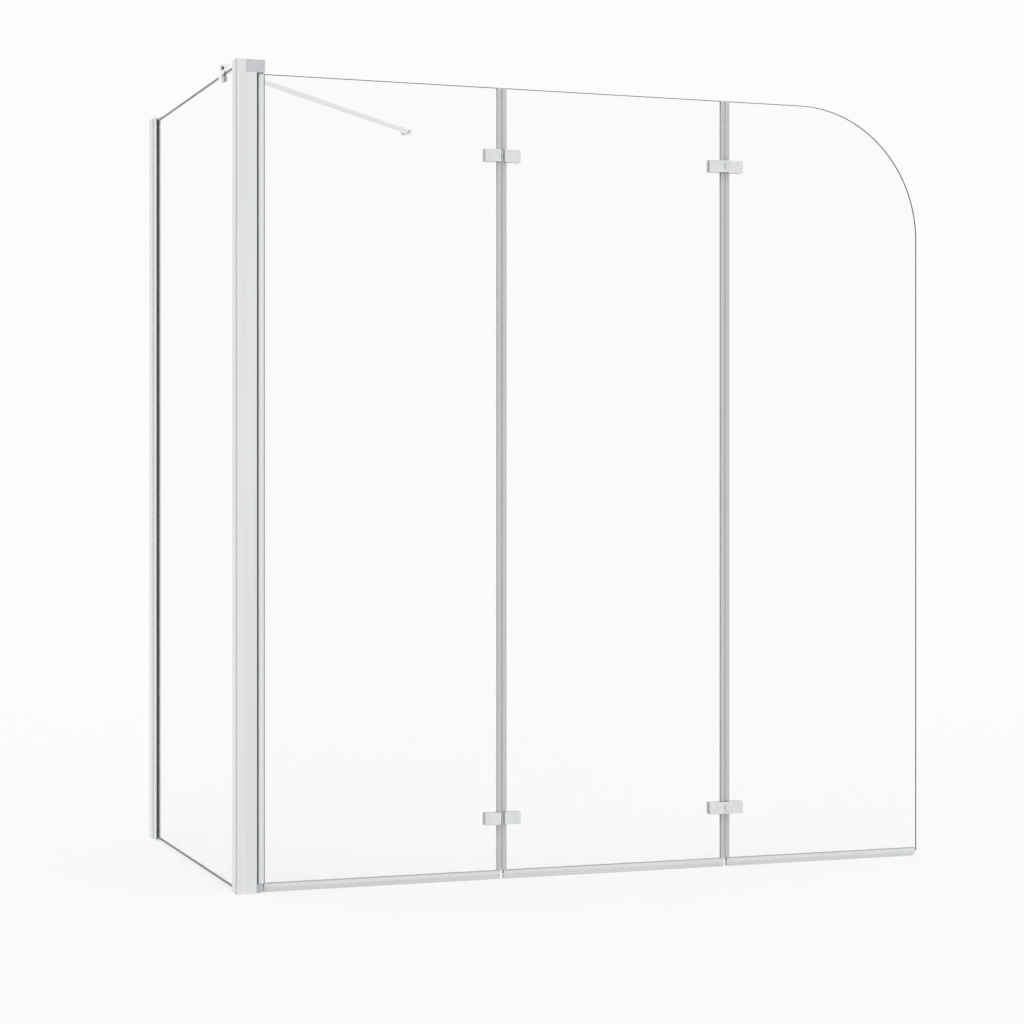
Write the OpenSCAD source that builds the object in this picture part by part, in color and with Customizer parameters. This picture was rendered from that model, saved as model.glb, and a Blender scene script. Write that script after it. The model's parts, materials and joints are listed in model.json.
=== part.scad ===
// Folding bath screen: three hinged glass panels on a corner post, a fixed side panel with a
// wall profile that adjusts, and a stabiliser bar from the side panel to the wall.
// Millimetres. X runs along the front, Y from the front towards the wall, Z up from the bath rim.
// Places are measured from the outer front corner of the post. place() then moves the object so
// that its origin is the middle of its footprint.

/* [Overall] */
// Width of the front, from the outer face of the post to the free glass edge
front_w = 1200; // [1000:1:1400]
// Depth of the side, from the front face of the post to the wall
side_d = 680; // [600:1:900]
// Height of the post and of the wall profile
frame_h = 1300; // [1200:1:1500]

/* [Corner post] */
// Width of the post across the front
post_w = 34.5; // [33:0.5:40]
// Depth of the post
post_d = 27; // [26:0.5:32]
// Wall thickness of the post
post_wall = 2; // [1.5:0.1:2.5]
// Radius on the long outer edges of the post
post_edge_r = 0.8; // [0.4:0.1:1.2]
// Radius on the post's edge beside the pivot groove
post_groove_r = 3; // [1:0.5:3.5]
// Width of the strip of the post that runs up beside the top cap
post_strip_w = 16.5; // [15.5:0.5:18]
// Depth of the groove that holds the side glass
post_bite = 14; // [10:0.5:15]
// Height of the cap that carries the upper pivot
cap_h = 19.5; // [17:0.5:30]
// Height of the block that carries the lower pivot
block_h = 13; // [12:0.5:20]
// Shank diameter of the screws that hold the cap and the block
cap_screw_d = 3.4; // [3:0.1:4]
// Length of the screws below the cap and above the block
cap_screw_grip = 20; // [10:1:30]

/* [Pivot] */
// Width of the pivot profile across the front
pivot_profile_w = 9; // [8.5:0.1:12]
// Thickness of the pivot profile
pivot_profile_d = 12; // [11:0.5:13]
// Width of the open groove between the post and the pivot profile
groove_w = 3; // [2:0.1:3.5]
// Diameter of the pivot pins
pivot_pin_d = 4; // [3:0.1:4.5]
// Length of each pivot pin inside the pivot profile
pivot_pin_grip = 30; // [15:1:60]
// Outer diameter of the pivot bushes
bush_d = 7; // [6.5:0.1:8]
// Thickness of the washer under the pivot profile
washer_t = 0.7; // [0.5:0.1:1.5]

/* [Front glass] */
// Thickness of the front glass
front_glass_t = 5; // [4:0.5:8]
// Height of the lower glass edge above the bath rim
front_glass_z = 8; // [6:0.5:10]
// Radius of the upper corner at the free edge
corner_r = 220; // [50:1:300]
// How much narrower the free panel is than the middle one
free_set = 34; // [10:1:60]
// How far past the pivot axis the second joint comes to lie when the panels are folded
fold_lead = 5; // [4:0.5:10]

/* [Side glass] */
// Thickness of the side glass
side_glass_t = 5; // [4:0.5:6]
// Height of the lower edge of the side glass above the bath rim
side_glass_z = 3; // [0:0.5:10]
// How far the side glass stays below the top of the post
side_glass_drop = 5; // [0:0.5:10]

/* [Wall profiles] */
// Depth of the wall channel
channel_d = 28; // [28:0.5:40]
// Thickness of the sides and the base of the wall channel
channel_t = 1.5; // [1.2:0.1:2]
// Thickness of the sides of the glass profile
leg_t = 1.2; // [1:0.1:1.5]
// Length of the glass profile that shows in front of the wall channel
profile_show = 24; // [20:0.5:40]
// Travel of the wall channel to each side of its middle setting
adjust = 10; // [5:0.5:10]
// Thickness of the black gasket on the outer side of the side glass
wedge_t = 2.6; // [1.5:0.1:3.5]
// How far the inner side of the glass profile reaches beyond its outer side
inner_reach = 12; // [0:1:15]
// How far the gasket on the inner side of the side glass stands back from the profile's outer side
inner_gasket_set = 4; // [0.5:0.5:5]
// Diameter of the locking screws
lock_screw_d = 3; // [2.5:0.1:3.5]
// Diameter of the holes for the wall screws
wall_hole_d = 4.5; // [3.5:0.1:5.5]
// Height of the lowest wall screw, and distance of the highest one from the top
wall_hole_end = 60; // [30:1:120]

/* [Seals] */
// Width of the seal on each glass edge at a joint
seal_w = 8; // [7:0.1:12]
// Wall thickness of the seals
seal_t = 1.2; // [0.8:0.1:1.5]
// Distance of the glass edge from the joint line
edge_set = 2.6; // [2:0.1:2.9]
// Height of the seal under the front glass
sweep_h = 14; // [13:0.5:20]
// Distance of each end of the lower seals from the joint line
sweep_set = 3; // [1.5:0.1:4]
// Distance of the last lower seal from the free glass edge
sweep_free = 4.5; // [0:0.5:10]
// Cut across the outer lower corner of the last lower seal
sweep_cut = 4; // [1:0.5:6]

/* [Hinges] */
// Width of a hinge leaf
leaf_w = 27; // [24:0.5:40]
// Height of a hinge leaf
leaf_h = 20; // [18:0.5:30]
// Thickness of a hinge leaf
leaf_t = 6.5; // [6:0.1:8]
// Gap between the two leaves of a hinge
leaf_gap = 6; // [6:0.1:8]
// Thickness of the pads between the leaves and the glass
pad_t = 0.5; // [0.5:0.1:1]
// Diameter of the hinge knuckles
knuckle_d = 5.4; // [5:0.1:5.4]
// Diameter of the hinge pins
hinge_pin_d = 2.8; // [2:0.1:3]
// How far the outer knuckles stay behind the front face of the post
knuckle_set = 1.5; // [0.5:0.1:2]
// Diameter of the hinge screws
hinge_screw_d = 3.9; // [3:0.1:4]
// Distance of the upper hinges below the glass edge
hinge_drop = 110; // [40:1:200]
// Height of the lower hinges above the bath rim
hinge_rise = 98; // [40:1:200]

/* [Stabiliser bar] */
// Diameter of the bar
bar_d = 9; // [8:0.5:10]
// Wall thickness of the bar
bar_wall = 1.5; // [0.8:0.1:2]
// Gap between the side glass and the underside of the bar
bar_gap = 2; // [2:0.1:4]
// Distance of the middle of the clamp from the front face of the post
clamp_y = 111; // [80:1:200]
// Width of the clamp along the side glass
clamp_w = 22; // [18:0.5:30]
// How far the clamp reaches down the side glass
clamp_reach = 15; // [10:0.5:30]
// Thickness of the clamp's outer jaw
outer_jaw_t = 4.8; // [3.5:0.1:4.9]
// Thickness of the clamp's inner jaw
inner_jaw_t = 3.2; // [2.5:0.1:6]
// Distance of the wall foot from the outer face of the post
foot_x = 487; // [350:1:600]
// Width of the wall foot
foot_w = 22; // [20:0.5:30]
// Height of the wall foot
foot_h = 12; // [10:0.5:20]
// Thickness of the wall foot's plate
foot_t = 4; // [3:0.5:6]
// Diameter of the wall screw holes in the foot
foot_hole_d = 3.5; // [3:0.1:4.5]
// Diameter of the pin in the wall foot
foot_pin_d = 3; // [2.5:0.1:3.5]

/* [Hidden] */
$fn = 48;

// Colours, as the object shows them
aluminium = "gainsboro";
chrome = "lightgray";
clear_glass = [0.82, 0.92, 0.92, 0.35];
grey_plastic = "silver";
cool_plastic = "darkgray";
black_rubber = [0.16, 0.16, 0.16];
dark_rubber = "dimgray";
steel = "lightslategray";

// Clearances and small sizes that several pieces share
eps = 0.01;
run_fit = 0.05;
move_gap = 0.3;
slide_gap = 0.2;
bed_t = 0.6;

// Hinge stack, from the post's front face inwards: knuckles, outer leaf, pad, glass, pad, inner leaf
axis_gap = 0.3;
outer_face = knuckle_set + knuckle_d / 2 + axis_gap;
glass_front = outer_face + leaf_t + pad_t;
glass_back = glass_front + front_glass_t;
glass_y = (glass_front + glass_back) / 2;
inner_face = glass_back + pad_t + leaf_t;
outer_axis_y = outer_face - axis_gap;
inner_axis_y = inner_face + axis_gap;

// Pivot: the profile turns on its pins without touching the post
turn_gap = 0.5;
pivot_x = post_w + pivot_profile_d / 2 + turn_gap;
profile_x = post_w + groove_w;
profile_end = profile_x + pivot_profile_w;
pin_wall = 0.8;
slot_x = pivot_x + pivot_pin_d / 2 + pin_wall;
glazing_t = 0.5;
nose_r = 3;

// Sides of a joint line, and faces of the glass
left = -1;
right = 1;
inner = 1;
outer = 0;

// Levels
cap_z = frame_h - cap_h;
top_gap = 0.7;
glass_top = cap_z - top_gap;
profile_z = block_h + washer_t + move_gap;
side_top = frame_h - side_glass_drop;

// Joint lines: the middle panel folds back to just past the pivot axis
panel_w = (front_w - pivot_x - fold_lead + free_set) / 3;
joint_1 = pivot_x + fold_lead + panel_w;
joint_2 = joint_1 + panel_w;
hinge_low = hinge_rise;
hinge_high = glass_top - hinge_drop;
hinge_levels = [hinge_low, hinge_high];

// Hinge details
knuckle_joint = move_gap;
mid_knuckle_h = leaf_h / 3;
screw_head_d = hinge_screw_d + 2.9;
screw_head_h = 3;
screw_head_sink = 0.4;
screw_tip = 4;
screw_near = leaf_gap / 2 + 7.5;
screw_far = leaf_gap / 2 + leaf_w - 7.5;
screw_places = [screw_near, screw_far];
glass_hole_d = hinge_screw_d + 2.1;
sleeve_gap = 0.1;

// Side glass: its outer face lies where the wall profiles and the outer gasket put it
side_glass_x = channel_t + slide_gap + leg_t + wedge_t;

// Post details
groove_left = side_glass_x - bed_t;
groove_right = side_glass_x + side_glass_t + bed_t;
groove_y = post_d - post_bite;
chamber_x = post_strip_w;
boss_wall = 1.8;
boss_d = cap_screw_d + 2 * boss_wall;
cap_head_d = cap_screw_d * 2;
cap_head_h = (cap_head_d - cap_screw_d) / 2;
boss_x = chamber_x + cap_head_d / 2 + 2.1;
boss_set = post_wall + boss_d / 2 - move_gap;
boss_ys = [boss_set, post_d - boss_set];
block_x = post_w - 1.5;
tongue_z = 1;
block_r = pivot_profile_d / 2 - 0.8;
washer_d = 9;
bush_floor = 2;
bush_roof = frame_h - 5;
pin_float = 0.6;

// Wall profiles: the glass profile slides in the wall channel
outer_leg_x = channel_t + slide_gap;
inner_leg_x = side_glass_x + side_glass_t + glazing_t;
channel_in = inner_leg_x + leg_t + slide_gap;
channel_w = channel_in + channel_t;
channel_y = side_d - channel_d;
profile_y = channel_y - profile_show;
profile_back = side_d - channel_t - adjust - 0.5;
lock_y = channel_y + 4;
lock_levels = [100, frame_h / 2, frame_h - 100];
lock_head_d = lock_screw_d + 2.5;
lock_head_h = 2;
lock_nut_w = lock_screw_d + 3;
lock_nut_t = 1.8;
lock_slot_w = lock_screw_d + 2 * slide_gap;
web_t = 1.5;
web_y = lock_y - adjust - lock_nut_w / 2 - 1 - web_t;
side_glass_end = web_y - bed_t;
gasket_back = side_glass_end - 1;
lock_cap_d = lock_head_d + 2.4;
lock_cap_h = 3.2;
wall_hole_count = 4;
wall_hole_step = (frame_h - 2 * wall_hole_end) / (wall_hole_count - 1);

// Stabiliser bar
side_mid = side_glass_x + side_glass_t / 2;
bar_z = side_top + bar_gap + bar_d / 2;
foot_reach = 13;
bar_run = [foot_x - side_mid, side_d - foot_reach - clamp_y];
bar_len = norm(bar_run);
bar_angle = atan2(bar_run[1], bar_run[0]);
bar_bore_d = bar_d - 2 * bar_wall;
bar_start = -5.5;
tube_end = bar_len - 11;
plug_len = 8;
clamp_top = bar_z + bar_d / 2 + 2.2;
clamp_low = side_top - clamp_reach;
liner_t = 0.5;
jaw_out = side_glass_x - liner_t;
jaw_in = side_glass_x + side_glass_t + liner_t;
grub_d = 4;
grub_hex = 2;
grub_z = side_top - clamp_reach / 2;
grub_y = clamp_y + 5;
bar_grub_x = 2;
eye_d = 8;
tongue_t = 3.6;
tongue_shank = 14;
ear_t = 2.4;
ear_w = 9;
foot_hole_set = 4;

// Moves the object so that the origin is the middle of its footprint
module place(paint) {
    color(paint) translate([-front_w / 2, -side_d / 2, 0]) children();
}

// Straight block between two corners
module box(from, to) {
    translate(from) cube(to - from);
}

// Round bars along X, Y and Z
module x_rod(y, z, x1, x2, d) {
    translate([x1, y, z]) rotate([0, 90, 0]) cylinder(d = d, h = x2 - x1);
}
module y_rod(x, z, y1, y2, d) {
    translate([x, y1, z]) rotate([-90, 0, 0]) cylinder(d = d, h = y2 - y1);
}
module z_rod(x, y, z1, z2, d) {
    translate([x, y, z1]) cylinder(d = d, h = z2 - z1);
}

// Rectangle with rounded corners, from square and round parts
module round_rect(w, d, r) {
    translate([r, 0]) square([w - 2 * r, d]);
    translate([0, r]) square([w, d - 2 * r]);
    for (x = [r, w - r]) {
        for (y = [r, d - r]) {
            translate([x, y]) circle(r = r);
        }
    }
}

// Block beside a joint line: from near to far away from it, on the side given (-1 left, 1 right)
module edge_box(joint, side, near, far, y1, y2, z1, z2) {
    x1 = min(joint + side * near, joint + side * far);
    x2 = max(joint + side * near, joint + side * far);
    box([x1, y1, z1], [x2, y2, z2]);
}

// ---- Frame -------------------------------------------------------------------------------------

module corner_post() {
    place(aluminium) difference() {
        linear_extrude(frame_h) round_rect(post_w, post_d, post_edge_r);
        difference() {
            box([post_w - post_groove_r, -1, -1], [post_w + 1, post_groove_r, frame_h + 1]);
            z_rod(post_w - post_groove_r, post_groove_r, -2, frame_h + 2, 2 * post_groove_r);
        }
        box([post_strip_w, -1, cap_z], [post_w + 1, post_d + 1, frame_h + 1]);
        box([groove_left, groove_y, -1], [groove_right, post_d + 1, frame_h + 1]);
        difference() {
            box([chamber_x, post_wall, -1], [post_w - post_wall, post_d - post_wall, cap_z + 1]);
            for (y = boss_ys) {
                z_rod(boss_x, y, block_h, cap_z + 2, boss_d);
            }
        }
        for (y = boss_ys) {
            z_rod(boss_x, y, -1, block_h + cap_screw_grip + 1, cap_screw_d);
            z_rod(boss_x, y, cap_z - cap_screw_grip - 1, cap_z + 1, cap_screw_d);
        }
        box([block_x, -1, -1], [post_w + 1, post_d + 1, block_h]);
        box([chamber_x, post_wall, -1], [block_x + 1, post_d - post_wall, block_h]);
    }
}

module top_pivot_cap() {
    place(cool_plastic) difference() {
        box([post_strip_w, 0, cap_z], [profile_end, post_d, frame_h]);
        z_rod(pivot_x, glass_y, cap_z - 1, bush_roof, bush_d);
        for (y = boss_ys) {
            z_rod(boss_x, y, cap_z - 1, frame_h + 1, cap_screw_d);
            countersink(boss_x, y, frame_h);
        }
    }
}

// Cone for a countersunk head whose face is at level z, with the screw below it
module countersink(x, y, z) {
    translate([x, y, z - cap_head_h]) cylinder(d1 = cap_screw_d, d2 = cap_head_d, h = cap_head_h);
}

module bottom_pivot_block() {
    fit = slide_gap;
    place(cool_plastic) difference() {
        union() {
            z_rod(pivot_x, glass_y, 0, block_h, 2 * block_r);
            box([block_x, glass_y - block_r, 0], [pivot_x, glass_y + block_r, block_h]);
            box([chamber_x + fit, post_wall + fit, tongue_z],
                [block_x + fit, post_d - post_wall - fit, block_h]);
        }
        z_rod(pivot_x, glass_y, bush_floor, block_h + 1, bush_d);
        for (y = boss_ys) {
            z_rod(boss_x, y, -1, block_h + 1, cap_screw_d);
            mirror([0, 0, 1]) countersink(boss_x, y, -tongue_z);
        }
    }
}

module pivot_bushes() {
    place("white") {
        for (z = [[bush_floor, block_h], [cap_z, bush_roof]]) {
            difference() {
                z_rod(pivot_x, glass_y, z[0], z[1], bush_d);
                z_rod(pivot_x, glass_y, z[0] - 1, z[1] + 1, pivot_pin_d + 2 * run_fit);
            }
        }
    }
}

// Countersunk screw with its head at the origin's level, pointing down, and a hexagon socket
module cap_screw(reach) {
    socket_d = 2.3;
    socket_h = 1.2;
    difference() {
        union() {
            translate([0, 0, -reach]) cylinder(d = cap_screw_d, h = reach);
            countersink(0, 0, 0);
        }
        translate([0, 0, -socket_h]) cylinder(d = socket_d, h = socket_h + 1, $fn = 6);
    }
}

module cap_screws() {
    place(steel) for (y = boss_ys) {
        translate([boss_x, y, frame_h]) cap_screw(cap_h + cap_screw_grip);
        translate([boss_x, y, tongue_z]) mirror([0, 0, 1])
            cap_screw(block_h - tongue_z + cap_screw_grip);
    }
}

module thrust_washer() {
    place("white") difference() {
        z_rod(pivot_x, glass_y, block_h, block_h + washer_t, washer_d);
        z_rod(pivot_x, glass_y, block_h - 1, profile_z, pivot_pin_d + 2 * slide_gap);
    }
}

module side_glass() {
    place(clear_glass) box([side_glass_x, groove_y + bed_t, side_glass_z],
                           [side_glass_x + side_glass_t, side_glass_end, side_top]);
}

module post_glass_gasket() {
    place(black_rubber) difference() {
        box([groove_left, groove_y, side_glass_z], [groove_right, post_d - move_gap, side_top]);
        box([side_glass_x, groove_y + bed_t, -1],
            [side_glass_x + side_glass_t, post_d + 1, frame_h + 1]);
    }
}

module glass_profile() {
    place(aluminium) difference() {
        union() {
            box([outer_leg_x, profile_y, 0], [outer_leg_x + leg_t, profile_back, frame_h]);
            box([inner_leg_x, profile_y - inner_reach, 0],
                [inner_leg_x + leg_t, profile_back, frame_h]);
            box([outer_leg_x, web_y, 0], [inner_leg_x + leg_t, web_y + web_t, frame_h]);
        }
        for (z = lock_levels) {
            box([inner_leg_x - 1, lock_y - adjust - lock_slot_w / 2, z - lock_slot_w / 2],
                [inner_leg_x + leg_t + 1, profile_back + 1, z + lock_slot_w / 2]);
        }
    }
}

module glass_profile_gasket() {
    lip = 0.4;
    place(black_rubber) {
        box([side_glass_x - wedge_t, profile_y - lip, side_glass_z],
            [side_glass_x, gasket_back, side_top]);
        box([side_glass_x + side_glass_t, profile_y + inner_gasket_set, side_glass_z],
            [inner_leg_x, gasket_back, side_top]);
    }
}

// Puts the origin where the bar crosses the side glass, with X along the bar
module along_bar() {
    translate([side_mid, clamp_y, bar_z]) rotate([0, 0, bar_angle]) children();
}

module brace_clamp() {
    place(chrome) difference() {
        box([jaw_out - outer_jaw_t, clamp_y - clamp_w / 2, clamp_low],
            [jaw_in + inner_jaw_t, clamp_y + clamp_w / 2, clamp_top]);
        along_bar() x_rod(0, 0, -2 * clamp_w, 2 * clamp_w, bar_d);
        box([jaw_out, clamp_y - clamp_w, 0], [jaw_in, clamp_y + clamp_w, side_top + liner_t]);
        x_rod(grub_y, grub_z, jaw_in - 1, jaw_in + inner_jaw_t + 1, grub_d);
        along_bar() z_rod(bar_grub_x, 0, 0, 2 * bar_d, grub_d);
    }
}

// Lining of the clamp: it slides along the glass when the clamp is loose
module clamp_liner() {
    inset = 0.5;
    half = clamp_w / 2 - inset;
    place(dark_rubber) difference() {
        box([jaw_out, clamp_y - half, clamp_low + inset], [jaw_in, clamp_y + half, side_top + liner_t]);
        box([side_glass_x - run_fit, clamp_y - clamp_w, 0],
            [side_glass_x + side_glass_t + run_fit, clamp_y + clamp_w, side_top + run_fit]);
    }
}

module clamp_screws() {
    socket_h = 1;
    top = clamp_top - bar_z;
    place(steel) {
        difference() {
            x_rod(grub_y, grub_z, jaw_in, jaw_in + inner_jaw_t, grub_d);
            translate([jaw_in + inner_jaw_t - socket_h, grub_y, grub_z])
                rotate([0, 90, 0]) cylinder(d = grub_hex, h = socket_h + 1, $fn = 6);
        }
        along_bar() difference() {
            z_rod(bar_grub_x, 0, bar_d / 2, top, grub_d);
            translate([bar_grub_x, 0, top - socket_h])
                cylinder(d = grub_hex, h = socket_h + 1, $fn = 6);
        }
    }
}

// ---- Wall channel -----------------------------------------------------------------------------

module wall_profile() {
    place(aluminium) difference() {
        box([0, channel_y, 0], [channel_w, side_d, frame_h]);
        box([channel_t, channel_y - 1, -1], [channel_in, side_d - channel_t, frame_h + 1]);
        for (i = [0 : wall_hole_count - 1]) {
            y_rod(channel_w / 2, wall_hole_end + i * wall_hole_step,
                  side_d - channel_t - 1, side_d + 1, wall_hole_d);
        }
        for (z = lock_levels) {
            x_rod(lock_y, z, channel_in - 1, channel_w + 1, lock_screw_d);
        }
    }
}

module locking_screws() {
    place(steel) for (z = lock_levels) {
        difference() {
            union() {
                x_rod(lock_y, z, inner_leg_x - lock_nut_t - slide_gap, channel_w, lock_screw_d);
                x_rod(lock_y, z, channel_w, channel_w + lock_head_h, lock_head_d);
            }
            translate([channel_w + lock_head_h - 1, lock_y, z])
                rotate([0, 90, 0]) cylinder(d = 2.2, h = 2, $fn = 6);
        }
    }
}

module locking_nuts() {
    half = lock_nut_w / 2;
    place(steel) for (z = lock_levels) {
        difference() {
            box([inner_leg_x - lock_nut_t - slide_gap, lock_y - half, z - half],
                [inner_leg_x - slide_gap, lock_y + half, z + half]);
            x_rod(lock_y, z, 0, channel_w, lock_screw_d);
        }
    }
}

module screw_caps() {
    place(grey_plastic) for (z = lock_levels) {
        difference() {
            x_rod(lock_y, z, channel_w, channel_w + lock_cap_h, lock_cap_d);
            x_rod(lock_y, z, channel_w - 1, channel_w + lock_head_h + slide_gap,
                  lock_head_d + 2 * slide_gap);
        }
    }
}

// ---- Stabiliser bar and wall foot -----------------------------------------------------------------

module stabiliser_bar() {
    place(chrome) along_bar() difference() {
        x_rod(0, 0, bar_start, tube_end, bar_d);
        x_rod(0, 0, bar_start - 1, tube_end + 1, bar_bore_d);
    }
}

module bar_end_plug() {
    place(black_rubber) along_bar() x_rod(0, 0, bar_start - move_gap, bar_start + plug_len, bar_bore_d);
}

// Plug in the wall end of the tube, with a flat tongue and an eye for the foot's pin
module bar_tongue() {
    place(steel) along_bar() difference() {
        union() {
            x_rod(0, 0, tube_end - tongue_shank, tube_end + 1, bar_bore_d);
            box([tube_end + slide_gap, -eye_d / 2, -tongue_t / 2], [bar_len, eye_d / 2, tongue_t / 2]);
            z_rod(bar_len, 0, -tongue_t / 2, tongue_t / 2, eye_d);
        }
        z_rod(bar_len, 0, -tongue_t, tongue_t, foot_pin_d + 2 * run_fit);
    }
}

module wall_foot() {
    pin_y = side_d - foot_reach;
    plate_y = side_d - foot_t;
    inside = tongue_t / 2 + move_gap;
    place(chrome) difference() {
        union() {
            box([foot_x - foot_w / 2, plate_y, bar_z - foot_h / 2],
                [foot_x + foot_w / 2, side_d, bar_z + foot_h / 2]);
            for (z = [inside, -inside - ear_t]) {
                box([foot_x - ear_w / 2, pin_y, bar_z + z],
                    [foot_x + ear_w / 2, plate_y + 1, bar_z + z + ear_t]);
                z_rod(foot_x, pin_y, bar_z + z, bar_z + z + ear_t, ear_w);
            }
        }
        z_rod(foot_x, pin_y, bar_z - foot_h, bar_z + foot_h, foot_pin_d);
        for (side = [-1, 1]) {
            y_rod(foot_x + side * (foot_w / 2 - foot_hole_set), bar_z,
                  plate_y - 1, side_d + 1, foot_hole_d);
        }
    }
}

module foot_pin() {
    reach = tongue_t / 2 + move_gap + ear_t;
    place(steel) z_rod(foot_x, side_d - foot_reach, bar_z - reach, bar_z + reach, foot_pin_d);
}

// ---- Glass panels ----------------------------------------------------------------------------------

// Holes for the hinge screws on one side of a joint
module hinge_holes(joint, side, y1, y2, d) {
    for (z = hinge_levels) {
        for (a = screw_places) {
            y_rod(joint + side * a, z, y1, y2, d);
        }
    }
}

module panel_1_glass() {
    notch_x = pivot_x + block_r + 1;
    notch_z = profile_z + move_gap;
    place(clear_glass) difference() {
        box([slot_x + glazing_t, glass_front, front_glass_z],
            [joint_1 - edge_set, glass_back, glass_top]);
        box([0, 0, 0], [notch_x, post_d, notch_z]);
        hinge_holes(joint_1, -1, glass_front - 1, glass_back + 1, glass_hole_d);
    }
}

module panel_2_glass() {
    place(clear_glass) difference() {
        box([joint_1 + edge_set, glass_front, front_glass_z],
            [joint_2 - edge_set, glass_back, glass_top]);
        hinge_holes(joint_1, 1, glass_front - 1, glass_back + 1, glass_hole_d);
        hinge_holes(joint_2, -1, glass_front - 1, glass_back + 1, glass_hole_d);
    }
}

module panel_3_glass() {
    x1 = joint_2 + edge_set;
    centre_x = front_w - corner_r;
    centre_z = glass_top - corner_r;
    place(clear_glass) difference() {
        box([x1, glass_front, front_glass_z], [front_w, glass_back, glass_top]);
        difference() {
            box([centre_x, glass_front - 1, centre_z], [front_w + 1, glass_back + 1, glass_top + 1]);
            y_rod(centre_x, centre_z, glass_front - 2, glass_back + 2, 2 * corner_r, $fn = 180);
        }
        hinge_holes(joint_2, 1, glass_front - 1, glass_back + 1, glass_hole_d);
    }
}

// ---- Pivot profile ----------------------------------------------------------------------------------

module pivot_profile() {
    half = pivot_profile_d / 2;
    place(aluminium) difference() {
        union() {
            box([profile_x + nose_r, glass_y - half, profile_z],
                [profile_end, glass_y + half, glass_top]);
            box([profile_x, glass_y - half + nose_r, profile_z],
                [profile_x + nose_r + 1, glass_y + half - nose_r, glass_top]);
            for (y = [glass_y - half + nose_r, glass_y + half - nose_r]) {
                z_rod(profile_x + nose_r, y, profile_z, glass_top, 2 * nose_r);
            }
        }
        z_rod(pivot_x, glass_y, 0, frame_h, pivot_pin_d);
        box([slot_x, glass_front - glazing_t, 0],
            [profile_end + 1, glass_back + glazing_t, frame_h]);
        box([profile_x - 1, glass_y - 2, 0], [profile_x + 0.8, glass_y + 2, frame_h]);
    }
}

module pivot_pins() {
    place(steel) {
        z_rod(pivot_x, glass_y, bush_floor + pin_float, profile_z + pivot_pin_grip, pivot_pin_d);
        z_rod(pivot_x, glass_y, glass_top - pivot_pin_grip, bush_roof - pin_float, pivot_pin_d);
    }
}

module pivot_gasket() {
    stand = groove_w / 2;
    place(black_rubber) {
        box([profile_x - stand, glass_y - 3, profile_z], [profile_x, glass_y + 3, glass_top]);
        box([profile_x - eps, glass_y - 2, profile_z], [profile_x + 0.8, glass_y + 2, glass_top]);
    }
}

module glazing_gasket() {
    lip = 1.9;
    place(dark_rubber) difference() {
        box([slot_x, glass_front - glazing_t, profile_z + move_gap],
            [profile_end + lip, glass_back + glazing_t, glass_top]);
        box([slot_x + glazing_t, glass_front, 0], [profile_end + lip + 1, glass_back, frame_h]);
    }
}

// ---- Seals ------------------------------------------------------------------------------------------

// Channel over an upright glass edge at a joint, with a soft lip towards the other panel
module edge_seal(joint, side) {
    lip_end = 0.35;
    nose = 0.9;
    soft = 1.5;
    cut_y = 0.1;
    bottom = sweep_h + 0.2;
    place(grey_plastic) difference() {
        union() {
            edge_box(joint, side, nose, seal_w, glass_front - seal_t, glass_back + seal_t,
                     bottom, glass_top);
            edge_box(joint, side, lip_end, nose + eps, glass_y - soft, glass_y + soft,
                     bottom, glass_top);
        }
        edge_box(joint, side, edge_set, seal_w + 1, glass_front, glass_back, 0, frame_h);
        for (z = hinge_levels) {
            edge_box(joint, side, 0, seal_w + 1, 0, glass_front + cut_y,
                     z - leaf_h / 2 - move_gap, z + leaf_h / 2 + move_gap);
            edge_box(joint, side, 0, seal_w + 1, glass_back - cut_y, post_d,
                     z - leaf_h / 2 - move_gap, z + leaf_h / 2 + move_gap);
        }
    }
}

// Seal under the front glass, from x1 to x2: a channel on the glass edge and two fins below it
module bottom_seal(x1, x2) {
    front = glass_front - seal_t - 0.1;
    back = glass_back + seal_t + 0.1;
    step = 0.8;
    fin = 1;
    floor_z = front_glass_z;
    root_z = floor_z - 2;
    place(grey_plastic) difference() {
        translate([x1, 0, 0]) rotate([90, 0, 90]) linear_extrude(x2 - x1) polygon([
            [front, sweep_h], [glass_front, sweep_h], [glass_front, floor_z],
            [glass_back, floor_z], [glass_back, sweep_h], [back, sweep_h],
            [back, root_z + step], [back - step, root_z], [back - step, 0],
            [back - step - fin, 0], [back - step - fin, root_z],
            [front + step + fin, root_z], [front + step + fin, 0],
            [front + step, 0], [front + step, root_z], [front, root_z + step]
        ]);
        children();
    }
}

module panel_1_bottom_seal() {
    bottom_seal(pivot_x + block_r + 1.3, joint_1 - sweep_set);
}

module panel_2_bottom_seal() {
    bottom_seal(joint_1 + sweep_set, joint_2 - sweep_set);
}

module panel_3_bottom_seal() {
    end = front_w - sweep_free;
    side = sweep_cut * 2;
    bottom_seal(joint_2 + sweep_set, end) {
        translate([end, 0, 0]) rotate([0, 45, 0]) translate([-sweep_cut / sqrt(2), -1, -side])
            cube([side, post_d, 2 * side]);
    }
}

// ---- Hinges -----------------------------------------------------------------------------------------

// Plate of a hinge, clamped to the glass; inner plates take the screw heads
module leaf_plate(joint, side, z, face) {
    y1 = face == inner ? glass_back + pad_t : outer_face;
    tip_y = glass_front - pad_t - screw_tip;
    difference() {
        edge_box(joint, side, leaf_gap / 2, leaf_gap / 2 + leaf_w, y1, y1 + leaf_t,
                 z - leaf_h / 2, z + leaf_h / 2);
        for (a = screw_places) {
            y_rod(joint + side * a, z, tip_y, inner_face + 1, hinge_screw_d);
            if (face == inner) {
                y_rod(joint + side * a, z, inner_face - screw_head_sink - screw_head_h,
                      inner_face + 1, screw_head_d);
            }
        }
    }
}

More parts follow.
